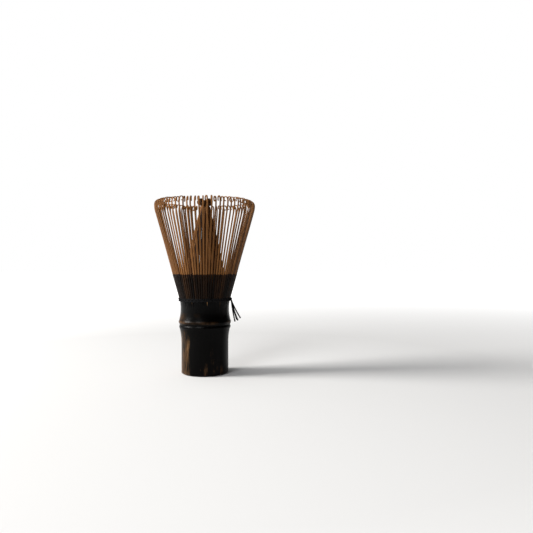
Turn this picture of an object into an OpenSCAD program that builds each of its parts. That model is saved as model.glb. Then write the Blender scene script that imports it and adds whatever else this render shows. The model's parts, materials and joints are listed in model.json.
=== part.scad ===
// Bamboo tea whisk: a length of culm whose upper end is split into flexing tines,
// 16 groups of outer tines around 16 groups of inner tines, held apart by a woven thread.
// Millimetres, +Z up. The origin is the centre of the handle's foot, on the table.

/* [Handle] */
// Radius of the straight barrel that is gripped
barrel_r = 13.9; // [12:0.1:16]
// Height of the straight barrel
barrel_h = 17; // [12:1:22]
// Radius of the waist between the joint and the thread
waist_r = 14.35; // [12.5:0.05:16]
// Height of the middle of the bamboo joint
joint_z = 30.4; // [28.5:0.1:32]
// How far the bamboo joint swells beyond the handle
joint_swell = 1.05; // [0.4:0.05:1.6]
// Radius of the natural hollow below the joint
hollow_r = 9.8; // [8:0.1:10.5]
// Chamfer around the foot
foot_chamfer = 0.7; // [0.3:0.1:1.2]

/* [Outer tines] */
// Radius of the rim at its widest
rim_r = 30; // [27:0.5:33]
// Lean of the straight part of an outer tine, in degrees from upright
outer_lean = 16; // [12:0.5:20]
// Width of an outer tine, across the radius
outer_w = 0.75; // [0.5:0.05:0.8]
// Thickness of an outer tine at its root
outer_root_t = 1; // [0.8:0.05:1]
// Thickness of an outer tine where it starts to curl
outer_top_t = 0.35; // [0.25:0.05:0.5]
// Radius of the rim's shoulder
shoulder_r = 2.75; // [2:0.05:3.5]
// Radius of the hook at an outer tine's tip
hook_r = 1.3; // [1:0.05:1.5]

/* [Inner tines] */
// Width of an inner tine, across the radius
inner_w = 0.28; // [0.2:0.02:0.3]
// Thickness of an inner tine at its root
inner_root_t = 0.8; // [0.5:0.05:0.9]
// Thickness of an inner tine at the neck
inner_top_t = 0.32; // [0.2:0.02:0.36]
// Height of the neck where the inner tines gather
neck_z = 100.2; // [96:0.2:102]
// Radius of the curls that form the knob above the neck
knob_curl_r = 1.3; // [1.1:0.05:1.5]

/* [Thread] */
// Diameter of the binding thread
thread_d = 0.84; // [0.6:0.02:1]
// Height of the lower row of thread
thread_z = 43.7; // [43.2:0.1:44.2]
// Direction of the knot around the handle, in degrees from +X
knot_angle = -8; // [-20:1:20]

/* [Hidden] */
groups = 16;
per_group = 5;
tines = groups * per_group;
pitch = 360 / tines;
function two_digits(i) = str(i < 10 ? "0" : "", i);
outer_names = [for (g = [1:groups]) str("outer_tines_", two_digits(g))];
inner_names = [for (g = [1:groups]) str("inner_tines_", two_digits(g))];

dark_bamboo = "#2a1c12";
tan_bamboo = "#8a5a2b";
black_thread = "#0c0c0e";

// The tines flex about flex_z, just above the end of the uncut handle.
flex_z = 47;
root_gap = 0.1;
outer_knuckle_r = 0.5;
inner_knuckle_r = 0.38;
handle_top = flex_z - outer_knuckle_r - root_gap;
outer_root_r = 15.25;
inner_root_r = 13.2;
socket_r = 12.6;

// Sine-shaped step from 0 to 1 between a and b.
function ease(x, a, b) = let (t = min(max((x - a) / (b - a), 0), 1)) (1 - cos(180 * t)) / 2;
function bell(x, middle, width) = exp(-pow((x - middle) / width, 2));
// A bell that is narrower above its middle than below it.
function lopsided_bell(x, middle, above, below) = bell(x, middle, x > middle ? above : below);

// ---- handle ----
flare_start = 40.2;
flare_slope = 0.12;
splay_start = 45.2;
splay_slope = 0.2;
swell_above = 3.8;
swell_below = 5.6;
// the two ridges stand above and below the joint's middle, with a groove between them
upper_ridge = 0.6;
lower_ridge = 2.6;
ridge_proud = 0.3;
ridge_width = 0.65;
groove = 1.0;
groove_depth = 0.3;
groove_width = 0.55;
blend_h = 5;
waist_z = 38;
function handle_r(z) =
    barrel_r
    + (waist_r - barrel_r) * ease(z, barrel_h, waist_z)
    + joint_swell * lopsided_bell(z, joint_z, swell_above, swell_below)
        * ease(z, barrel_h, barrel_h + blend_h)
    + ridge_proud * bell(z, joint_z + upper_ridge, ridge_width)
    + ridge_proud * bell(z, joint_z - lower_ridge, ridge_width)
    - groove_depth * bell(z, joint_z - groove, groove_width)
    + flare_slope * max(z - flare_start, 0)
    + splay_slope * max(z - splay_start, 0);

septum_low = joint_z - 2.8;
septum_high = joint_z + 0.6;
chamber_r = 10.3;
slope_steps = 64;
module handle() {
    slope_h = handle_top - barrel_h;
    outside = [for (i = [0:slope_steps])
        let (z = barrel_h + slope_h * i / slope_steps) [handle_r(z), z]];
    color(dark_bamboo)
    rotate_extrude($fn = 96)
    polygon(concat(
        [[hollow_r + foot_chamfer / 2, 0], [barrel_r - foot_chamfer, 0],
         [barrel_r, foot_chamfer]],
        outside,
        // the chamber above the septum, widened where the strips are thinned
        [[socket_r, handle_top], [chamber_r, handle_top - 9], [chamber_r, septum_high + 1.2],
         [chamber_r - 1.2, septum_high], [0, septum_high]],
        // the natural hollow below it
        [[0, septum_low], [hollow_r - 1.5, septum_low], [hollow_r, septum_low - 1.5],
         [hollow_r, foot_chamfer / 2]]));
}

// ---- paths ----
// A path is a list of [r, z, heading], the heading in degrees from upright, positive outwards.
// arc_on() carries a path on from its last point, turning from heading a to heading b.
function arc_on(last, a, b, radius, steps) =
    let (k = (b > a ? 1 : -1) / radius)
    [for (i = [1:steps])
        let (h = a + (b - a) * i / steps)
        [last[0] + (cos(a) - cos(h)) / k, last[1] + (sin(h) - sin(a)) / k, h]];
function end(path) = path[len(path) - 1];

// Side outline of a tine: the path with half the thickness laid off on each side.
function side(path, thickness, sign) =
    [for (i = [0:len(path) - 1])
        let (p = path[i], half = sign * thickness[i] / 2)
        [p[0] + half * cos(p[2]), p[1] - half * sin(p[2])]];
function reversed(list) = [for (i = [len(list) - 1:-1:0]) list[i]];
function outline(path, thickness) =
    concat(side(path, thickness, 1), reversed(side(path, thickness, -1)));

// A tine cut from its side outline, standing in the radial plane at one angle,
// with a round knuckle at the root, about which it flexes.
module tine(path, thickness, width, knuckle_r, angle) {
    rotate([90, 0, angle]) {
        linear_extrude(width, center = true) polygon(outline(path, thickness));
        translate([path[0][0], path[0][1], 0])
        cylinder(r = knuckle_r, h = width, center = true, $fn = 48);
    }
}

// ---- outer tines ----
bend_r = 12;
hook_end = -250;
straight = (rim_r - outer_top_t / 2 - outer_root_r - bend_r * (1 - cos(outer_lean)))
    / sin(outer_lean);
function outer_path() =
    let (
        line = [for (s = [0, straight])
            [outer_root_r + s * sin(outer_lean), flex_z + s * cos(outer_lean), outer_lean]],
        bend = arc_on(end(line), outer_lean, 0, bend_r, 3),
        shoulder = arc_on(end(bend), 0, -90, shoulder_r, 6),
        hook = arc_on(end(shoulder), -90, hook_end, hook_r, 8))
    concat(line, bend, shoulder, hook);
function outer_thickness(path) =
    [for (i = [0:len(path) - 1]) i == 0 ? outer_root_t : outer_top_t];

module outer_group(g) {
    path = outer_path();
    color(tan_bamboo)
    for (k = [0:per_group - 1])
        tine(path, outer_thickness(path), outer_w, outer_knuckle_r,
             (g * per_group + k - (per_group - 1) / 2) * pitch);
}

// ---- inner tines ----
// Each stands half a pitch on from an outer tine, between it and the next.
// The tines gather at the neck in four rings, because they can't all reach the middle.
ring_r = [3.1, 2.4, 1.65, 0.9];
ring_top = [neck_z, neck_z + 2.6, neck_z + 2.9, neck_z + 3.1];
ring_of = [0, 1, 0, 2, 1, 0, 3, 0, 1, 2];
function gather(t) = 0.78 * t + 0.22 * pow(t, 3);
function gather_slope(t) = 0.78 + 0.66 * t * t;
function gathered(ring, steps) =
    [for (i = [0:steps])
        let (t = i / steps, inward = inner_root_r - ring_r[ring], h = neck_z - flex_z)
        [inner_root_r - inward * gather(t), flex_z + h * t,
         -atan(inward * gather_slope(t) / h)]];
swell_r = 2.2;
swell_heading = 50;
knob_end = -125;
function inner_path(ring) =
    let (body = gathered(ring, 10))
    ring > 0
        ? concat(body, [[ring_r[ring], ring_top[ring], 0]])
        : let (
            swell = arc_on(end(body), end(body)[2], swell_heading, swell_r, 4),
            curl = arc_on(end(swell), swell_heading, knob_end, knob_curl_r, 8))
          concat(body, swell, curl);
function inner_thickness(path) =
    [for (p = path)
        let (t = min((p[1] - flex_z) / (neck_z - flex_z), 1))
        inner_root_t + (inner_top_t - inner_root_t) * t];

module inner_group(g) {
    color(tan_bamboo)
    for (k = [0:per_group - 1]) {
        i = g * per_group + k;
        path = inner_path(ring_of[i % len(ring_of)]);
        tine(path, inner_thickness(path), inner_w, inner_knuckle_r,
             (i - per_group / 2 + 1) * pitch);
    }
}

// ---- thread ----
thread_gap = 0.02;
row_step = 1;
function row_r(z) = handle_r(z + thread_d / 2) + thread_d / 2 + thread_gap;
module thread_row(z) {
    color(black_thread)
    rotate_extrude($fn = 96)
    translate([row_r(z), z]) circle(d = thread_d, $fn = 32);
}

knot_size = 0.75;
knot_z = thread_z + row_step / 2;
knot_gap = 0.1;
knot_r = handle_r(knot_z) + knot_size + knot_gap;
module at_knot() {
    rotate([0, 0, knot_angle]) translate([knot_r, 0, knot_z]) children();
}
module thread_knot() {
    color(black_thread) at_knot() sphere(r = knot_size, $fn = 32);
}

// The loose ends hang from the knot in gentle arcs, each ending in a small fused bead.
// Each is [turn about the knot, tilt from straight down at the knot, tilt at the end, length].
tail_d = 0.5;
bead_r = 0.42;
tail_bite = 0.1;
tails = [[-35, 4, 14, 12.2], [-8, 10, 22, 12.6], [22, 18, 32, 12.0], [60, 10, 16, 10.8]];
module tail(turn, tilt, end_tilt, length) {
    bend_r = length / ((end_tilt - tilt) * PI / 180);
    start = knot_size - tail_bite;
    rotate([0, 0, turn])
    translate([bend_r * cos(tilt) + start * sin(tilt), 0, bend_r * sin(tilt) - start * cos(tilt)])
    rotate([90, 0, 0]) {
        rotate([0, 0, 180 + tilt])
        rotate_extrude(angle = end_tilt - tilt, $fn = 96)
        translate([bend_r, 0]) circle(d = tail_d, $fn = 24);
        rotate([0, 0, 180 + end_tilt]) translate([bend_r, 0, 0]) sphere(r = bead_r, $fn = 24);
    }
}
module thread_tails() {
    color(black_thread) at_knot() for (t = tails) tail(t[0], t[1], t[2], t[3]);
}

handle();
thread_row(thread_z);  // thread_lower_wrap
thread_row(thread_z + row_step);  // thread_upper_wrap
thread_knot();
thread_tails();
for (g = [0:groups - 1]) {
    outer_group(g);
    inner_group(g);
}
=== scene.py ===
"""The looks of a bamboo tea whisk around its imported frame.

Lengths are in millimetres until new_piece() turns them into metres, in the row frame:
+Z up the whisk, seen from -Y, with the thread's knot towards +X.
"""

import json
import math
import random

import bpy
from mathutils import Matrix, Vector


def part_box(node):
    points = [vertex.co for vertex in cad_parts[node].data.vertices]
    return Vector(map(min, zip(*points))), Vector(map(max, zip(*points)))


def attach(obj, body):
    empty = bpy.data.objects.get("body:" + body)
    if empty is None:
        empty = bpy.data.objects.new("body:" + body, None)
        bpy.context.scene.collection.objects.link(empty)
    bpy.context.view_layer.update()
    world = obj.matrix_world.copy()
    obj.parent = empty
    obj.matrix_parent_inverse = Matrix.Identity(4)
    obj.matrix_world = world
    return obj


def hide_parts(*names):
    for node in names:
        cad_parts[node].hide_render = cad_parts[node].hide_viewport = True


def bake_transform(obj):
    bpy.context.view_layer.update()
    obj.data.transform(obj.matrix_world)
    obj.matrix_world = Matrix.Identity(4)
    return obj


MM = 0.001
UP = Vector((0, 0, 1))

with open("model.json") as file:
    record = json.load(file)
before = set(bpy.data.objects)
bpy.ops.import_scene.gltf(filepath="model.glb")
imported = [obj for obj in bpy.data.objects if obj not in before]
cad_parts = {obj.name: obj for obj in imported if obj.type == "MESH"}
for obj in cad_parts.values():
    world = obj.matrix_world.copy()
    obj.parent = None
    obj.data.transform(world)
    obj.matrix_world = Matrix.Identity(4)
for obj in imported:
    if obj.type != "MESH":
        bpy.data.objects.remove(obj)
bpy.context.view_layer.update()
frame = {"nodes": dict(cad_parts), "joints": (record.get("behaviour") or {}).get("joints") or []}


def cad_box(node):
    """Lowest and highest corner of a CAD node, in millimetres."""
    low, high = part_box(node)
    return low / MM, high / MM


# ---- camera: level with the middle of the whisk, which stands left of the centre ----

CAMERA_AT = Vector((36.9, -330, 63.7)) * MM
SENSOR = 36
FOCAL_LENGTH = 37.15


def make_camera():
    """A level camera that looks straight along +Y."""
    data = bpy.data.cameras.new("camera")
    data.sensor_width = SENSOR
    data.lens = FOCAL_LENGTH
    data.clip_start = 0.01
    data.clip_end = 20
    camera = bpy.data.objects.new("camera", data)
    camera.location = CAMERA_AT
    camera.rotation_euler = (math.radians(90), 0, 0)
    bpy.context.scene.collection.objects.link(camera)
    bpy.context.scene.camera = camera


make_camera()

# ---- sizes taken from the frame ----

joints = {joint["name"]: joint for joint in frame["joints"]}
outer_joint = joints["outer_flex_01"]
inner_joint = joints["inner_flex_01"]
GROUPS = sum(name.startswith("outer_flex_") for name in joints)
PER_GROUP = 5
TINES = GROUPS * PER_GROUP
PITCH = 360 / TINES
FLEX_Z = outer_joint["pos_m"][2] / MM
OUTER_ROOT_R = outer_joint["pos_m"][0] / MM
INNER_ROOT_R = math.hypot(*inner_joint["pos_m"][:2]) / MM
HANDLE_TOP = cad_box("handle")[1].z
RIM_R = cad_box("outer_tines_01")[1].x
# the handle's outside is all that lies further out than this
OUTSIDE_OVER_R = 13


def middle_of(node):
    """The middle of a CAD node's box."""
    return sum(cad_box(node), Vector()) / 2


THREAD_Z = [middle_of("thread_lower_wrap").z, middle_of("thread_upper_wrap").z]
KNOT = middle_of("thread_knot")


def handle_profile():
    """The handle's outside as (height, radius) pairs, read from the CAD node."""
    rings = {}
    for vertex in frame["nodes"]["handle"].data.vertices:
        z = round(vertex.co.z / MM, 2)
        rings[z] = max(rings.get(z, 0), math.hypot(vertex.co.x, vertex.co.y) / MM)
    return [(z, r) for z, r in sorted(rings.items()) if r > OUTSIDE_OVER_R]


PROFILE = handle_profile()


def handle_r(z):
    """Radius of the handle's outside at a height."""
    for (z0, r0), (z1, r1) in zip(PROFILE, PROFILE[1:]):
        if z <= z1:
            share = (z - z0) / (z1 - z0)
            return r0 + (r1 - r0) * max(share, 0)
    return PROFILE[-1][1]


# ---- mesh helpers ----

def new_piece(name, points, faces, attributes=None, smooth=True):
    """A mesh object from points in millimetres, with float attributes on its points."""
    mesh = bpy.data.meshes.new(name)
    mesh.from_pydata([Vector(p) * MM for p in points], [], faces)
    for key, values in (attributes or {}).items():
        mesh.attributes.new(key, "FLOAT", "POINT").data.foreach_set("value", values)
    mesh.polygons.foreach_set("use_smooth", [smooth] * len(mesh.polygons))
    mesh.update()
    piece = bpy.data.objects.new(name, mesh)
    bpy.context.scene.collection.objects.link(piece)
    return piece


def loft(rings, start=0, closed=False):
    """Faces that join equal rings of points into a tube, with flat ends unless it is closed."""
    count, sides = len(rings), len(rings[0])
    faces = []
    for i in range(count if closed else count - 1):
        j = (i + 1) % count
        for k in range(sides):
            m = (k + 1) % sides
            faces.append([start + i * sides + k, start + i * sides + m,
                          start + j * sides + m, start + j * sides + k])
    if not closed:
        faces.append([start + k for k in reversed(range(sides))])
        faces.append([start + (count - 1) * sides + k for k in range(sides)])
    return faces


def ease(x, low, high):
    """A smooth step from 0 at low to 1 at high."""
    t = min(max((x - low) / (high - low), 0), 1)
    return t * t * (3 - 2 * t)


def mix(a, b, t):
    return a + (b - a) * t


def sin_deg(angle):
    return math.sin(math.radians(angle))


def cos_deg(angle):
    return math.cos(math.radians(angle))


# ---- tines ----
# A tine is walked from its root. At each point it heads so many degrees from upright, outwards
# positive, in a plane turned by yaw from the radial one. Its own axes are radial, tangential, up.

class Tine:
    """A path of points with the heading, the yaw and the distance walked at each."""

    def __init__(self, radius, height, heading):
        self.points = [Vector((radius, 0, height))]
        self.headings = [heading]
        self.yaws = [0]
        self.walked = [0]

    def leg(self, length, heading, yaw, steps):
        """Walks on, turning evenly to a new heading and yaw."""
        heading_from, yaw_from = self.headings[-1], self.yaws[-1]
        for i in range(1, steps + 1):
            middle = (i - 0.5) / steps
            direction = along(mix(heading_from, heading, middle), mix(yaw_from, yaw, middle))
            self.points.append(self.points[-1] + direction * (length / steps))
            self.headings.append(mix(heading_from, heading, i / steps))
            self.yaws.append(mix(yaw_from, yaw, i / steps))
            self.walked.append(self.walked[-1] + length / steps)


def along(heading, yaw):
    h, y = math.radians(heading), math.radians(yaw)
    return Vector((math.sin(h) * math.cos(y), math.sin(h) * math.sin(y), math.cos(h)))


def across(yaw):
    y = math.radians(yaw)
    return Vector((-math.sin(y), math.cos(y), 0))


def section(width, outer, inner):
    """Corners of a tine's section: (across, outwards, skin) with the corners cut off."""
    cut = 0.22 * min(width, outer + inner)
    w = width / 2
    return [(-w, cut - inner, 0), (cut - w, -inner, 0), (w - cut, -inner, 0), (w, cut - inner, 0),
            (w, outer - cut, 1), (w - cut, outer, 1), (cut - w, outer, 1), (-w, outer - cut, 1)]


def bundle(name, tines):
    """One piece from several (tine, angle, tone, shape), shape giving the section at a point."""
    points, faces = [], []
    attributes = {"height": [], "across": [], "skin": [], "tone": [], "tip": []}
    for tine, angle, tone, shape in tines:
        turn = Matrix.Rotation(math.radians(angle), 3, "Z")
        rings = []
        for i, point in enumerate(tine.points):
            sideways = across(tine.yaws[i])
            outwards = sideways.cross(along(tine.headings[i], tine.yaws[i]))
            corners = section(*shape(tine.walked[i], tine.walked[-1]))
            rings.append([turn @ (point + sideways * a + outwards * o) for a, o, _ in corners])
            for a, _, skin in corners:
                attributes["height"].append(tine.walked[i])
                attributes["across"].append(a)
                attributes["skin"].append(skin)
                attributes["tone"].append(tone)
                attributes["tip"].append(tine.walked[i] / tine.walked[-1])
        faces += loft(rings, start=len(points))
        points += [p for ring in rings for p in ring]
    return new_piece(name, points, faces, attributes)


OUTER_SEED = 100
OUTER_START_Z = 43.4
OUTER_START_HEADING = 9
# a tine's usual lean below and above the joint, for lengths that need not be exact
ROOT_LEAN = 12
USUAL_LEAN = 16
# the dark skin is scraped off above this height, down by the skin's thickness
SCRAPE_Z = 59.3
SCRAPE_STEP = 0.12
SKIN = 0.12
RIM_TOP_Z = 102.75
RIM_INSET = 0.3
RIM_BEND_R = 12
SHOULDER_R = 2.7
HOOK_R = 1.3
# how far a hook curls on after the shoulder; one short of SHORT_HOOK ends in a straight tip
HOOK_TURNS = (115, 150, 190, 225)
SHORT_HOOK = 130


def lean_to_rim(rim_r, shoulder):
    """The lean, in degrees, that brings a tine to its place on the rim at the rim's height."""
    low, high = 10, 22
    for _ in range(20):
        lean = (low + high) / 2
        rise = straight_to_rim(lean, rim_r) * cos_deg(lean) + RIM_BEND_R * sin_deg(lean)
        if FLEX_Z + rise + shoulder > RIM_TOP_Z:
            low = lean
        else:
            high = lean
    return lean


def straight_to_rim(lean, rim_r):
    """Length of a tine's straight part, from the joint to the bend under the rim."""
    return (rim_r - OUTER_ROOT_R - RIM_BEND_R * (1 - cos_deg(lean))) / sin_deg(lean)


def outer_tine(rng, side_turn):
    """An outer tine: up the handle's end, a straight flare, the rim's shoulder and the hook."""
    rim_r = RIM_R - RIM_INSET + rng.uniform(-0.3, 0.2)
    shoulder = SHOULDER_R * rng.uniform(0.9, 1.1)
    lean = lean_to_rim(rim_r, shoulder + rng.uniform(-0.3, 0.25))
    start_length = (FLEX_Z - OUTER_START_Z) / cos_deg(ROOT_LEAN)
    start_r = OUTER_ROOT_R - start_length * sin_deg((OUTER_START_HEADING + lean) / 2)
    tine = Tine(start_r, OUTER_START_Z, OUTER_START_HEADING)
    tine.leg(start_length, lean, 0, 4)
    to_scrape = (SCRAPE_Z + rng.uniform(-0.25, 0.25) - FLEX_Z) / cos_deg(lean)
    tine.leg(to_scrape, lean, 0, 5)
    tine.leg(SCRAPE_STEP, lean, 0, 1)
    rest = straight_to_rim(lean, rim_r) - to_scrape - SCRAPE_STEP
    sway = rng.uniform(-0.6, 0.6)
    tine.leg(rest / 2, lean + sway, rng.uniform(-1.2, 1.2), 6)
    tine.leg(rest / 2, lean - sway, rng.uniform(-1.5, 1.5), 6)
    tine.leg(RIM_BEND_R * math.radians(lean), 0, 0, 3)
    tine.leg(shoulder * math.pi / 2, -90, side_turn * 0.6, 8)
    hook = HOOK_R * rng.uniform(0.85, 1.15)
    hook_turn = rng.choice(HOOK_TURNS) + rng.uniform(-12, 12)
    tine.leg(hook * math.radians(hook_turn), -90 - hook_turn, side_turn, 10)
    if hook_turn < SHORT_HOOK:
        tine.leg(rng.uniform(0.3, 0.9), -95 - hook_turn, side_turn, 2)
    return tine


def outer_shape(walked, total):
    """Width, outer half and inner half of an outer tine's thickness."""
    scrape = FLEX_Z - OUTER_START_Z + (SCRAPE_Z - FLEX_Z) / cos_deg(USUAL_LEAN) + SCRAPE_STEP
    t = walked / total
    width = mix(1.0, 0.86, ease(t, 0, 0.8))
    width = width - 0.14 * ease(t, 0.9, 0.95) - 0.14 * ease(t, 0.988, 1)
    half = mix(0.5, 0.22, ease(t, 0, 0.6)) + 0.03 * ease(t, 0.95, 0.985)
    skin = SKIN if walked < scrape else 0
    return width, half + skin, half


def side_turn_at(angle, rng):
    """How far a hook turns sideways: it drifts round the rim, and each tine differs a little."""
    drift = 40 * sin_deg(angle - 270) + 26 * sin_deg(3 * angle + 40)
    return drift + rng.uniform(-18, 18)


def outer_bristles(group):
    """One group of neighbouring outer tines, centred on its joint."""
    rng = random.Random(OUTER_SEED + group)
    tines = []
    for k in range(PER_GROUP):
        angle = (group * PER_GROUP + k - (PER_GROUP - 1) / 2) * PITCH
        tine = outer_tine(rng, side_turn_at(angle, rng))
        tines.append((tine, angle + rng.uniform(-0.3, 0.3), rng.random(), outer_shape))
    return bundle(f"outer_bristles_{group + 1:02d}", tines)


INNER_SEED = 500
INNER_START_Z = 44.5
INNER_START_INSET = 0.3
NECK_Z = 99.7
NECK_STEPS = 18
# the tines pass the neck in four rings; RING_OF gives each tine's ring, in turn round the whisk
RING_R = [2.3, 1.95, 1.4, 0.8]
RING_OF = [0, 1, 0, 2, 0, 1, 0, 3, 0, 1]
# painted shade: tines of the rings nearer the middle of the cone take only the darker part of the
# tone range
PAINTED_SHADE_RING_TONE = 0.55


def inner_tine(rng, ring, angle):
    """An inner tine: it leans in to the neck, swells and curls over into the two-lobed knob."""
    lobe = abs(cos_deg(angle))
    neck_z = NECK_Z - 0.3 * ring + 0.5 * (lobe - 0.7) + rng.uniform(-0.4, 0.3)
    neck_r = RING_R[ring] + rng.uniform(-0.1, 0.1)
    inward = INNER_ROOT_R - neck_r
    bow = rng.uniform(-0.1, 0.3)
    tine = Tine(INNER_ROOT_R - INNER_START_INSET, INNER_START_Z, 4)
    tine.leg(FLEX_Z - INNER_START_Z, -4, 0, 2)
    for i in range(1, NECK_STEPS + 1):
        t = i / NECK_STEPS
        radius = INNER_ROOT_R - inward * (0.8 * t + 0.2 * t ** 3) + bow * math.sin(math.pi * t)
        point = Vector((radius, 0, mix(FLEX_Z, neck_z, t)))
        step = point - tine.points[-1]
        tine.points.append(point)
        tine.headings.append(math.degrees(math.atan2(step.x, step.z)))
        tine.yaws.append(0)
        tine.walked.append(tine.walked[-1] + step.length)
    side = rng.uniform(-50, 50)
    # the outer ring swells and rolls over, the next one curls under it, the rest fill the middle
    if ring == 0:
        tine.leg(1.0, 75 + rng.uniform(-8, 8), side * 0.2, 4)
        tine.leg(rng.uniform(1.0, 1.3) + 0.45 * lobe, 40 + 12 * (1 - lobe), side * 0.3, 3)
        curl = mix(1.05, 1.5, lobe)
        tine.leg(curl * math.radians(170), -125 + rng.uniform(-25, 25), side * 0.8, 10)
        tine.leg(1.1, -190 + rng.uniform(-30, 20), side, 4)
    elif ring == 1:
        tine.leg(1.3 + 0.6 * lobe, 44 + rng.uniform(-10, 8), side * 0.3, 4)
        tine.leg(mix(0.9, 1.25, lobe) * math.radians(190), -150 + rng.uniform(-30, 20), side, 9)
    else:
        tine.leg(0.9, rng.uniform(-5, 14), side, 3)
        tine.leg(1.5, rng.uniform(-150, -60), side * 1.5, 7)
    return tine


def inner_shape(walked, total):
    """Width and the two halves of an inner tine's thickness."""
    t = walked / total
    width = mix(0.9, 0.46, ease(t, 0.1, 0.9)) + 0.18 * ease(t, 0.88, 0.93)
    half = mix(0.4, 0.16, ease(t, 0, 0.6)) + 0.05 * ease(t, 0.88, 0.93)
    return width, half, half


def inner_bristles(group):
    """One group of neighbouring inner tines, set half a pitch round from the outer ones."""
    rng = random.Random(INNER_SEED + group)
    tines = []
    for k in range(PER_GROUP):
        index = group * PER_GROUP + k
        angle = (index - PER_GROUP / 2 + 1) * PITCH
        ring = RING_OF[index % len(RING_OF)]
        tine = inner_tine(rng, ring, angle)
        # painted shade: tines off the outer ring are kept darker
        tone = rng.random() * (1 if ring == 0 else PAINTED_SHADE_RING_TONE)
        tines.append((tine, angle + rng.uniform(-0.6, 0.6), tone, inner_shape))
    return bundle(f"inner_bristles_{group + 1:02d}", tines)


# ---- handle ----

HANDLE_SEED = 7
SLIT_LOW_Z = 41
SLIT_DEPTH = 1.7
SLIT_WIDTH = 0.4
SLIT_RUN_OUT = 3
# the few slits that show pale wood start lower, and are wider and shallower
PALE_DROP = 1.8
PALE_WIDER = 0.6
PALE_SHALLOWER = 0.75
FOOT_CHAMFER = 0.7
HOLLOW_R = 9.8
CHAMBER_R = 10.3
SOCKET_R = 12.6
JOINT_Z = 29.5
# the rows lie closer together between these heights, and above the last one
JOINT_ROWS = (25, 34)
SLIT_ROWS = 39
UPPER_RIDGE_Z = 31
RUBBED_Z = 33.5
SEPTUM_LOW = 27.6
SEPTUM_HIGH = 31
# how pale the sawn foot and the inside are, from 0 as the skin to 1
CUT_WOOD = 0.7
FOOT_CUT_Z = 0.1
# points across the strip between two slits: (share of the strip, 1 on the skin or 0 in the slit)
PER_STRIP = [(-0.5, 0), (-0.5, 1), (-0.22, 1), (0.22, 1), (0.5, 1), (0.5, 0)]


def handle_rows():
    """Heights of the handle's outer rows, close together round the joint and the slits."""
    rows = [FOOT_CHAMFER, 1.5]
    z = 3
    while z < HANDLE_TOP:
        rows.append(z)
        if JOINT_ROWS[0] < z < JOINT_ROWS[1]:
            z += 0.3
        elif z > SLIT_ROWS:
            z += 0.5
        else:
            z += 1.2
    return rows + [HANDLE_TOP]


def out_of_round(angle, z):
    """How far a real culm's skin is from a true circle."""
    a = math.radians(angle)
    lobes = 0.06 * math.sin(2 * a + 0.7) + 0.035 * math.sin(3 * a + 0.11 * z)
    near_joint = math.exp(-((z - JOINT_Z) / 2.5) ** 2)
    return lobes + near_joint * (0.07 * math.sin(5 * a + 1.1) + 0.05 * math.sin(11 * a + 2.3))


def make_handle():
    """The handle with its hollow, its septum and the slits that run down between the roots."""
    rng = random.Random(HANDLE_SEED)
    slit_starts = [SLIT_LOW_Z + rng.uniform(-1.8, 2.2) for _ in range(TINES)]
    pale_slits = [max(rng.uniform(-2, 1), 0) for _ in range(TINES)]
    sides = TINES * len(PER_STRIP)
    # the rings run from under the septum down the hollow, round the foot, up the outside, and
    # down the chamber to the top of the septum, so they make one closed skin
    inside = [(SOCKET_R, HANDLE_TOP), (CHAMBER_R + 1.1, HANDLE_TOP - 5),
              (CHAMBER_R, HANDLE_TOP - 9), (CHAMBER_R - 0.1, SEPTUM_HIGH + 1.4),
              (CHAMBER_R - 1.2, SEPTUM_HIGH), (CHAMBER_R - 5, SEPTUM_HIGH - 0.5),
              (0.4, SEPTUM_HIGH - 0.7)]
    below = [(0.4, SEPTUM_LOW + 0.3), (HOLLOW_R - 4, SEPTUM_LOW),
             (HOLLOW_R - 1.3, SEPTUM_LOW - 0.5), (HOLLOW_R - 0.2, SEPTUM_LOW - 2),
             (HOLLOW_R, SEPTUM_LOW - 8), (HOLLOW_R, 6), (HOLLOW_R + 0.05, 0.5),
             (HOLLOW_R + 0.35, 0)]
    rings, cut = [], []
    foot = [(handle_r(0) - 0.5, 0), (handle_r(0) - 0.15, 0.18), (handle_r(0) - 0.02, 0.45)]
    for radius, z in below + foot:
        rings.append([polar(radius, k * 360 / sides, z) for k in range(sides)])
        cut += [CUT_WOOD if z < FOOT_CUT_Z else 0] * sides
    for z in handle_rows():
        ring = []
        for strip in range(TINES):
            for place, proud in PER_STRIP:
                slit = (strip + (1 if place > 0 else 0)) % TINES
                pale = pale_slits[slit]
                low = slit_starts[slit] - PALE_DROP * pale
                opened = ease(z, low, low + SLIT_RUN_OUT)
                gap = SLIT_WIDTH * opened * (1 + PALE_WIDER * pale)
                half_gap = math.degrees(gap / 2 / handle_r(z))
                angle = strip * PITCH + place * PITCH
                at_edge = abs(place) == 0.5
                if at_edge:
                    angle -= math.copysign(half_gap + 0.02 * proud, place)
                full_depth = min(SLIT_DEPTH * opened * 3, SLIT_DEPTH)
                depth = 0 if proud else full_depth * (1 - PALE_SHALLOWER * pale)
                groove = 0.03 * opened if at_edge else 0
                radius = handle_r(z) + out_of_round(strip * PITCH, z) - depth - groove
                ring.append(polar(radius, angle, z))
                cut.append(0 if proud else pale * opened)
        rings.append(ring)
    for radius, z in inside:
        rings.append([polar(radius, k * 360 / sides, z) for k in range(sides)])
        cut += [CUT_WOOD] * sides
    points = [p for ring in rings for p in ring]
    return new_piece("bamboo_handle", points, loft(rings), {"cut": cut})


def polar(radius, angle, z):
    """The point at a radius, an angle in degrees and a height."""
    a = math.radians(angle)
    return Vector((radius * math.cos(a), radius * math.sin(a), z))


# ---- thread ----

THREAD_D = 0.86
KNOT_THREAD_D = 0.66
TAIL_D = 0.92
PLIES = 3
TWIST_LENGTH = 2.2
STRAND_SIDES = 7
WRAP_GAP = 0.05
WRAP_DIP = 0.1
# the lower and the upper turn's weave: its height, its phase in degrees, and the turn's tilt
WRAP_WAVES = [(0.14, 0, 0.1), (0.1, 180, 0.06)]


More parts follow.
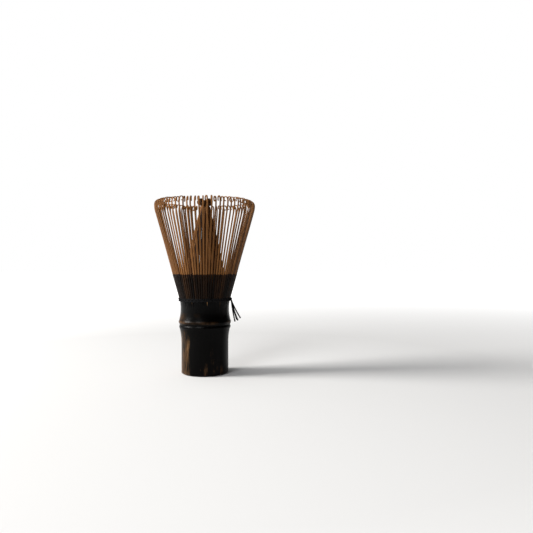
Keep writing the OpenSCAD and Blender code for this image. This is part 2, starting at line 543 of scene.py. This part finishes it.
def rope(paths, thickness, name, closed=False, twist=TWIST_LENGTH):
    """Twisted thread along each path, a list of points close together."""
    points, faces = [], []
    for path in paths:
        strand_r = thickness / 2 / (1 + 1 / math.sin(math.pi / PLIES)) * 1.12
        lay_r = thickness / 2 - strand_r
        length = sum((b - a).length for a, b in zip(path, path[1:]))
        turns = max(round(length / twist), 1)
        count = len(path)
        for ply in range(PLIES):
            rings, walked = [], 0
            for i, point in enumerate(path):
                after = path[(i + 1) % count] if closed else path[min(i + 1, count - 1)]
                before = path[i - 1] if closed or i > 0 else path[0]
                ahead = (after - before).normalized()
                if i > 0:
                    walked += (point - path[i - 1]).length
                side = ahead.cross(UP if abs(ahead.z) < 0.9 else Vector((0, 1, 0))).normalized()
                up = side.cross(ahead)
                phase = 2 * math.pi * (turns * walked / length + ply / PLIES)
                centre = point + (side * math.cos(phase) + up * math.sin(phase)) * lay_r
                ring = []
                for k in range(STRAND_SIDES):
                    a = 2 * math.pi * k / STRAND_SIDES
                    ring.append(centre + (side * math.cos(a) + up * math.sin(a)) * strand_r)
                rings.append(ring)
            faces += loft(rings, start=len(points), closed=closed)
            points += [p for ring in rings for p in ring]
    return new_piece(name, points, faces)


def wrap_path(z, wave, phase, lift):
    """Round the roots of the tines, dipping in between one pair of tines and the next."""
    path = []
    steps = TINES * 8
    for i in range(steps):
        a = 360 * i / steps
        dip = sin_deg(a / PITCH * 180 + phase)
        radius = handle_r(z) + THREAD_D / 2 + WRAP_GAP + WRAP_DIP * dip
        path.append(polar(radius, a, z + wave * dip + lift * sin_deg(2 * a + 200)))
    return path


def make_knot():
    """A small overhand knot, drawn tight over the wraps."""
    size, steps = 0.42, 72
    path = []
    for i in range(steps):
        t = 2 * math.pi * i / steps
        path.append(KNOT + Vector((
            0.25 - math.sin(3 * t) * size * 0.8,
            (math.cos(t) - 2 * math.cos(2 * t)) * size * 0.62,
            (math.sin(t) + 2 * math.sin(2 * t)) * size * 0.7)))
    return rope([path], KNOT_THREAD_D, "thread_tied_knot", closed=True, twist=1.6)


TAIL_STEPS = 28
# where the ends hang to, from the knot: outwards, sideways, up
TAIL_ENDS = [(5.6, -1.2, -10.6), (4.1, 0.3, -12.1), (2.5, -0.9, -12.6), (3.4, 1.6, -11.7)]


def tail_path(end):
    """A loose end's curve, out of the knot and down under its own weight."""
    start = KNOT + Vector((0.35, end[1] * 0.12, -0.3))
    target = KNOT + Vector(end)
    sag = Vector((0.42 * end[0], end[1] * 0.3, 0.46 * end[2] - 0.6))
    path = []
    for i in range(TAIL_STEPS + 1):
        t = i / TAIL_STEPS
        path.append((1 - t) ** 2 * start + 2 * t * (1 - t) * (KNOT + sag) + t * t * target)
    return path


def make_tails():
    return rope([tail_path(end) for end in TAIL_ENDS], TAIL_D, "thread_loose_ends", twist=1.9)


BEAD_R = 0.47


def make_tail_beads():
    """The fused ends that stop the thread from fraying."""
    points, faces = [], []
    sides, rows = 10, 7
    for end in TAIL_ENDS:
        path = tail_path(end)
        axis = (path[-1] - path[-3]).normalized()
        side = axis.cross(Vector((0, 1, 0))).normalized()
        up = side.cross(axis)
        rings = []
        for i in range(rows):
            t = i / (rows - 1)
            radius = BEAD_R * math.sqrt(max(math.sin(math.pi * (0.06 + 0.9 * t)), 0.02))
            centre = path[-1] + axis * (1.3 * t - 0.6)
            ring = []
            for k in range(sides):
                a = 2 * math.pi * k / sides
                lump = 1 + 0.09 * math.sin(3 * a + 5 * t + end[1])
                ring.append(centre + (side * math.cos(a) + up * math.sin(a)) * radius * lump)
            rings.append(ring)
        faces += loft(rings, start=len(points))
        points += [p for ring in rings for p in ring]
    return new_piece("thread_end_beads", points, faces)


# ---- materials ----

class Nodes:
    """Short ways to add and join the shader nodes of one material."""

    def __init__(self, name):
        self.material = bpy.data.materials.new(name)
        self.material.use_nodes = True
        self.tree = self.material.node_tree
        self.shader = self.tree.nodes["Principled BSDF"]

    def add(self, kind, inputs=None, **settings):
        node = self.tree.nodes.new(kind)
        for key, value in settings.items():
            setattr(node, key, value)
        for key, value in (inputs or {}).items():
            self.put(node.inputs[key], value)
        return node

    def put(self, socket, value):
        if isinstance(value, bpy.types.NodeSocket):
            self.tree.links.new(value, socket)
        else:
            socket.default_value = value

    def attribute(self, name):
        return self.add("ShaderNodeAttribute", attribute_name=name).outputs["Fac"]

    def math(self, operation, a, b=0.0):
        return self.add("ShaderNodeMath", {0: a, 1: b}, operation=operation).outputs[0]

    def weigh(self, a, share_a, b, share_b):
        """Two values added, each times its share."""
        return self.math("ADD", self.math("MULTIPLY", a, share_a),
                         self.math("MULTIPLY", b, share_b))

    def fibre_place(self, across_scale, length_scale):
        """Places that stretch along a tine and differ from one tine to the next."""
        return self.add("ShaderNodeCombineXYZ", {
            "X": self.math("MULTIPLY", self.attribute("across"), across_scale),
            "Y": self.math("MULTIPLY", self.attribute("height"), length_scale),
            "Z": self.math("MULTIPLY", self.attribute("tone"), TONE_SPREAD)}).outputs[0]

    def noise(self, vector, scale, detail=2.0, roughness=0.5):
        node = self.add("ShaderNodeTexNoise", {
            "Vector": vector, "Scale": scale, "Detail": detail, "Roughness": roughness})
        return node.outputs["Fac"]

    def stretch(self, vector, around, along_z):
        """The place scaled one way across the wood and another along it."""
        node = self.add("ShaderNodeMapping", {"Vector": vector, "Scale": (around, around, along_z)})
        return node.outputs[0]

    def span(self, value, low, high, at_low, at_high):
        """The value carried from one range to another and held at its ends."""
        node = self.add("ShaderNodeMapRange", {
            "Value": value, "From Min": low, "From Max": high, "To Min": at_low, "To Max": at_high})
        return node.outputs[0]

    def ramp(self, value, stops):
        node = self.add("ShaderNodeValToRGB", {"Fac": value})
        elements = node.color_ramp.elements
        while len(elements) < len(stops):
            elements.new(0.5)
        for element, (place, colour) in zip(elements, stops):
            element.position = place
            element.color = (*colour, 1)
        return node.outputs["Color"]

    def blend(self, factor, a, b):
        node = self.add("ShaderNodeMix", data_type="RGBA")
        self.put(node.inputs["Factor"], factor)
        for socket, value in ((node.inputs[6], a), (node.inputs[7], b)):
            self.put(socket, (*value, 1) if isinstance(value, tuple) else value)
        return node.outputs[2]

    def bump(self, height, distance, strength=1.0):
        node = self.add("ShaderNodeBump", {
            "Height": height, "Distance": distance, "Strength": strength})
        return node.outputs["Normal"]

    def shade(self, **inputs):
        for key, value in inputs.items():
            socket = self.shader.inputs[key.replace("_", " ")]
            self.put(socket, (*value, 1) if isinstance(value, tuple) and len(value) == 3 else value)
        return self.material


WOOD_SHINE = 0.07
TONE_SPREAD = 40.0


def tine_material(name, pale, brown, tip_brown):
    """Split bamboo: fibres along the tine, dark skin below the scraped line, and warm tips."""
    n = Nodes(name)
    height, tone = n.attribute("height"), n.attribute("tone")
    place = n.fibre_place(6.0, 0.16)
    fibre = n.noise(place, 1.6, 4.0, 0.6)
    blotch = n.noise(place, 0.35, 2.0)
    halfway = tuple(mix(a, b, 0.5) for a, b in zip(brown, pale))
    wood = n.ramp(n.weigh(fibre, 0.55, tone, 0.45), [(0.25, brown), (0.5, halfway), (0.8, pale)])
    wood = n.blend(n.math("MULTIPLY", blotch, 0.4), wood, brown)
    tip = n.ramp(n.attribute("tip"), [(0.8, (0, 0, 0)), (0.96, (0.6, 0.6, 0.6))])
    wood = n.blend(tip, wood, tip_brown)
    line = (SCRAPE_Z - FLEX_Z) / cos_deg(USUAL_LEAN) + FLEX_Z - OUTER_START_Z + 0.1
    wavy = n.math("ADD", height, n.math("MULTIPLY", n.math("SUBTRACT", tone, 0.5), 0.5))
    below = n.math("LESS_THAN", wavy, line)
    skin = n.ramp(n.weigh(fibre, 0.6, tone, 0.4), [
        (0.35, (0.0014, 0.0008, 0.0005)), (0.58, (0.007, 0.003, 0.0012)),
        (0.8, (0.05, 0.022, 0.008))])
    side_wood = n.ramp(fibre, [(0.3, (0.012, 0.005, 0.002)), (0.7, (0.06, 0.025, 0.009))])
    dark = n.blend(n.attribute("skin"), side_wood, skin)
    rough = n.math("ADD", n.math("MULTIPLY", fibre, 0.25), 0.38)
    return n.shade(Base_Color=n.blend(below, wood, dark), Roughness=rough,
                   Normal=n.bump(fibre, 0.00004, 0.7), Specular_IOR_Level=WOOD_SHINE)


def inner_material(name, pale, brown, smoked):
    """The inner tines: the same wood without skin, darker at the roots."""
    n = Nodes(name)
    tone = n.attribute("tone")
    fibre = n.noise(n.fibre_place(7.0, 0.2), 1.5, 4.0, 0.6)
    wood = n.ramp(n.weigh(fibre, 0.5, tone, 0.5), [(0.28, smoked), (0.5, brown), (0.78, pale)])
    tip = n.ramp(n.attribute("tip"), [(0.86, (0, 0, 0)), (0.97, (0.6, 0.6, 0.6))])
    wood = n.blend(tip, wood, smoked)
    root = n.ramp(n.attribute("tip"), [(0.12, (1, 1, 1)), (0.3, (0, 0, 0))])
    rough = n.math("ADD", n.math("MULTIPLY", fibre, 0.25), 0.42)
    return n.shade(Base_Color=n.blend(root, wood, (0.022, 0.012, 0.006)), Roughness=rough,
                   Normal=n.bump(fibre, 0.00003, 0.6), Specular_IOR_Level=WOOD_SHINE)


HANDLE_SHINE = 0.055


def handle_material():
    """Nearly black bamboo skin, rubbed brown in streaks low on the left and along the joint; the
    streaks on the left are painted stronger, as a painted highlight where the key light falls, and
    those towards the middle and the right weaker, as painted shade.

    Places here are in metres: x is -0.0139 at the left edge, and z runs up from the foot.
    """
    n = Nodes("dark_bamboo_skin")
    place = n.add("ShaderNodeTexCoord").outputs["Object"]
    split = n.add("ShaderNodeSeparateXYZ", {"Vector": place})
    x, z = split.outputs["X"], split.outputs["Z"]
    grain = n.noise(n.stretch(place, 1900, 55), 1.0, 3.0, 0.6)
    streak = n.noise(n.stretch(place, 520, 75), 1.0, 6.0, 0.75)
    patch = n.noise(n.stretch(place, 150, 55), 1.0, 4.0, 0.65)
    scorch = n.noise(n.stretch(place, 60, 45), 1.0, 2.0)
    skin = n.ramp(grain, [(0.3, (0.0003, 0.0003, 0.0003)), (0.7, (0.0012, 0.0009, 0.0008))])
    # the brown of the streaks, which on the left also paints a highlight
    streak_brown = n.ramp(streak, [(0.3, (0.012, 0.006, 0.0025)), (0.52, (0.085, 0.043, 0.018)),
                           (0.72, (0.24, 0.13, 0.06))])
    low = n.span(z, 0.025, 0.002, -0.14, 0.16)
    # painted light: the streaks grow towards the left edge, where the key light falls, as a painted
    # highlight, and shrink towards the middle and the right, as painted shade
    sides = n.math("ADD", n.span(x, -0.0134, -0.0062, 0.24, -0.17),
                   n.span(x, 0.0, 0.012, -0.02, -0.03))
    amount = n.math("ADD", n.weigh(patch, 1.3, streak, 0.6), n.math("ADD", low, sides))
    below_joint = n.span(z, 0.0275, 0.0245, 0.0, 1.0)
    wear_and_highlight = n.math("MULTIPLY", n.span(amount, 0.95, 1.3, 0.0, 1.0), below_joint)
    off_ridge = n.math("ABSOLUTE", n.math("SUBTRACT", z, UPPER_RIDGE_Z * MM))
    ridge = n.math("MULTIPLY", n.span(off_ridge, 0.0011, 0.0004, 0.0, 1.0),
                   n.span(scorch, 0.38, 0.56, 0.0, 0.75))
    off_rub = n.math("ABSOLUTE", n.math("SUBTRACT", z, RUBBED_Z * MM))
    rubbed = n.math("MULTIPLY", n.span(off_rub, 0.0035, 0.0, 0.0, 0.5),
                    n.span(scorch, 0.46, 0.6, 0.0, 1.0))
    colour = n.blend(n.math("MAXIMUM", n.math("MAXIMUM", wear_and_highlight, ridge), rubbed), skin, streak_brown)
    cut = n.ramp(grain, [(0.3, (0.12, 0.062, 0.026)), (0.7, (0.4, 0.23, 0.11))])
    colour = n.blend(n.attribute("cut"), colour, cut)
    return n.shade(
        Base_Color=colour,
        Roughness=n.math("ADD", n.math("MULTIPLY", streak, 0.2), 0.2),
        Normal=n.bump(n.math("ADD", grain, n.math("MULTIPLY", streak, 1.5)), 0.00006, 0.5),
        Specular_IOR_Level=HANDLE_SHINE)


def thread_material():
    """Black cotton: matt, with fine fibres that catch the light."""
    n = Nodes("black_thread")
    place = n.add("ShaderNodeTexCoord").outputs["Object"]
    fibre = n.noise(place, 5200.0, 3.0, 0.7)
    colour = n.ramp(fibre, [(0.35, (0.0015, 0.0015, 0.0018)), (0.7, (0.007, 0.007, 0.008))])
    return n.shade(Base_Color=colour, Roughness=0.8, Normal=n.bump(fibre, 0.00008, 0.8),
                   Sheen_Weight=0.02, Specular_IOR_Level=0.12)


# ---- stage and light ----

FLOOR_RINGS = [60, 150, 300, 600, 1200, 2400, 6000]
FLOOR_SIDES = 48
# softboxes: name, place and aim in metres, size, power and colour
SOFTBOXES = [
    ("key_softbox", (-1.2, -0.15, 0.65), (0, 0, 0.07), 0.5, 29, (1, 0.98, 0.95)),
    ("front_softbox", (-0.5, -1.15, 0.85), (0, 0, 0.03), 0.5, 8.5, (1, 1, 1)),
    ("top_softbox", (-0.3, 0.1, 1.8), (0, 0.02, 0), 0.8, 5, (1, 1, 1))]
# how bright the world is all round, and how much more from the left and from behind: an axis,
# where along it the extra light starts and where it is full, and its strength there
WORLD_BASE = 0.02
WORLD_SIDES = [("X", -0.25, -0.95, 0.6), ("Y", 0.5, 1, 0.4)]


def make_stage():
    """A round white floor that glows more with distance, so that it meets the white around it."""
    points = [(0, 0, 0)]
    faces = []
    for radius in FLOOR_RINGS:
        first = len(points)
        inside = first - FLOOR_SIDES
        points += [polar(radius, 360 * k / FLOOR_SIDES, 0) for k in range(FLOOR_SIDES)]
        for k in range(FLOOR_SIDES):
            m = (k + 1) % FLOOR_SIDES
            if first == 1:
                faces.append((0, first + k, first + m))
            else:
                faces.append((inside + k, first + k, first + m, inside + m))
    floor = new_piece("studio_floor", points, faces)
    n = Nodes("white_floor")
    place = n.add("ShaderNodeTexCoord").outputs["Object"]
    distance = n.add("ShaderNodeVectorMath", {0: place}, operation="LENGTH").outputs["Value"]
    floor.data.materials.append(n.shade(
        Base_Color=(0.76, 0.76, 0.76), Roughness=0.9, Specular_IOR_Level=0.0,
        Emission_Color=(1, 1, 1), Emission_Strength=n.span(distance, 0.2, 1.0, 0.03, 1.0)))


def softbox(name, at, aim, size, power, colour):
    """A square area light that faces a point near the whisk."""
    data = bpy.data.lights.new(name, "AREA")
    data.shape = "SQUARE"
    data.size = size
    data.energy = power
    data.color = colour
    light = bpy.data.objects.new(name, data)
    light.location = Vector(at)
    light.rotation_euler = (Vector(aim) - light.location).to_track_quat("-Z", "Y").to_euler()
    bpy.context.scene.collection.objects.link(light)


def make_world():
    """Soft light from the left and from behind, in front of a plain white backdrop."""
    world = bpy.data.worlds.new("studio")
    world.use_nodes = True
    tree = world.node_tree
    seen = tree.nodes["Background"]
    seen.inputs["Color"].default_value = (1, 1, 1, 1)
    seen.inputs["Strength"].default_value = 1
    direction = tree.nodes.new("ShaderNodeTexCoord").outputs["Generated"]
    split = tree.nodes.new("ShaderNodeSeparateXYZ")
    tree.links.new(direction, split.inputs[0])
    level = None
    for axis, low, high, strength in WORLD_SIDES:
        part = tree.nodes.new("ShaderNodeMapRange")
        tree.links.new(split.outputs[axis], part.inputs["Value"])
        span = {"From Min": low, "From Max": high, "To Min": 0, "To Max": strength}
        for key, value in span.items():
            part.inputs[key].default_value = value
        total = tree.nodes.new("ShaderNodeMath")
        total.operation = "ADD"
        tree.links.new(part.outputs[0], total.inputs[0])
        if level:
            tree.links.new(level, total.inputs[1])
        else:
            total.inputs[1].default_value = WORLD_BASE
        level = total.outputs[0]
    glow = tree.nodes.new("ShaderNodeBackground")
    tree.links.new(level, glow.inputs["Strength"])
    ray = tree.nodes.new("ShaderNodeLightPath")
    both = tree.nodes.new("ShaderNodeMixShader")
    tree.links.new(ray.outputs["Is Camera Ray"], both.inputs[0])
    tree.links.new(glow.outputs[0], both.inputs[1])
    tree.links.new(seen.outputs[0], both.inputs[2])
    tree.links.new(both.outputs[0], tree.nodes["World Output"].inputs["Surface"])
    bpy.context.scene.world = world


def make_lights():
    """All the light, and colours shown as they are."""
    for box in SOFTBOXES:
        softbox(*box)
    make_world()
    bpy.context.scene.view_settings.view_transform = "Standard"


# ---- putting it together ----

# wood colours: pale, brown, and the one that the tips or the dark streaks take
OUTER_WOOD = [(0.27, 0.118, 0.036), (0.055, 0.02, 0.005), (0.3, 0.135, 0.046)]
INNER_WOOD = [(0.33, 0.148, 0.05), (0.085, 0.031, 0.0085), (0.02, 0.0075, 0.0023)]


def cover(piece, node, material):
    """Gives a piece its material and hides the CAD node that it stands for."""
    piece.data.materials.append(material)
    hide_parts(node)


def make_bristles():
    """Every group of tines, its outer and its inner ones each made into one piece in place of their
    CAD node.
    """
    outer_wood = tine_material("scraped_bamboo", *OUTER_WOOD)
    inner_wood = inner_material("fine_split_bamboo", *INNER_WOOD)
    for group in range(GROUPS):
        label = f"{group + 1:02d}"
        for kind, piece, wood in (("outer", outer_bristles(group), outer_wood),
                                  ("inner", inner_bristles(group), inner_wood)):
            cover(piece, f"{kind}_tines_{label}", wood)
            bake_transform(piece)


def make_thread():
    """The two turns of wrapping, the knot, and the loose ends with their beads."""
    cotton = thread_material()
    lower, upper = (
        rope([wrap_path(z, wave, phase, lift)], THREAD_D, name, closed=True)
        for name, z, (wave, phase, lift) in zip(
            ("thread_lower_turn", "thread_upper_turn"), THREAD_Z, WRAP_WAVES))
    knot = make_knot()
    tails = make_tails()
    beads = make_tail_beads()
    for piece, node in ((lower, "thread_lower_wrap"), (upper, "thread_upper_wrap"),
                        (knot, "thread_knot"), (tails, "thread_tails")):
        cover(piece, node, cotton)
        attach(piece, "handle")
    beads.data.materials.append(cotton)
    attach(beads, "handle")


def main():
    make_stage()
    make_lights()
    handle = make_handle()
    cover(handle, "handle", handle_material())
    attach(handle, "handle")
    make_thread()
    make_bristles()


main()
bpy.context.view_layer.update()
